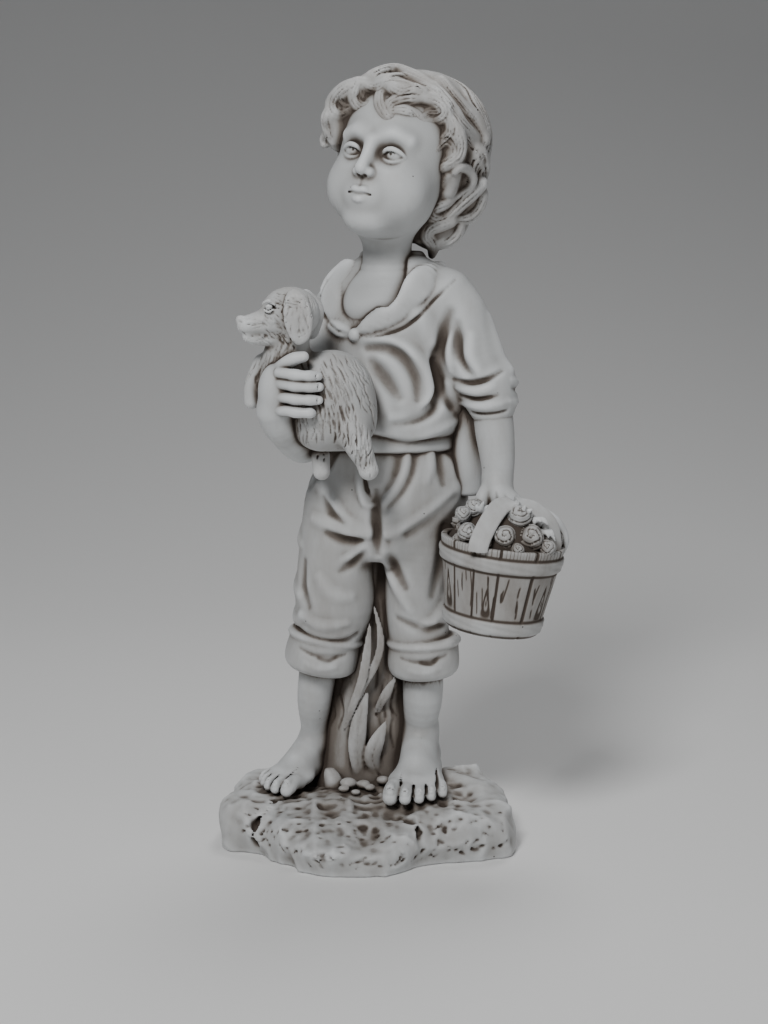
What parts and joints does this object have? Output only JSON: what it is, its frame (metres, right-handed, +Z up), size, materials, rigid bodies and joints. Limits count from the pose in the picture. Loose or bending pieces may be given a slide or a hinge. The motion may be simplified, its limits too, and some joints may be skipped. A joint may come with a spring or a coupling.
{
  "type": "boy with dog statue",
  "caption": "Cast stone garden statue of a barefoot boy on a rock base, a puppy held on one arm and a stave basket of roses in the other hand.",
  "frame": {"origin": "middle of the flat underside of the rock base", "axes": "+Z up, -Y the front of the statue, +X towards the basket, the boy's left"},
  "size_m": [0.3163, 0.2041, 0.6974],
  "materials": {
    "painted_cast_stone": "satin off-white paint with a brown wash left in the hollows"
  },
  "bodies": {
    "root": {"boy_with_dog": "painted_cast_stone"}
  },
  "joints": []
}
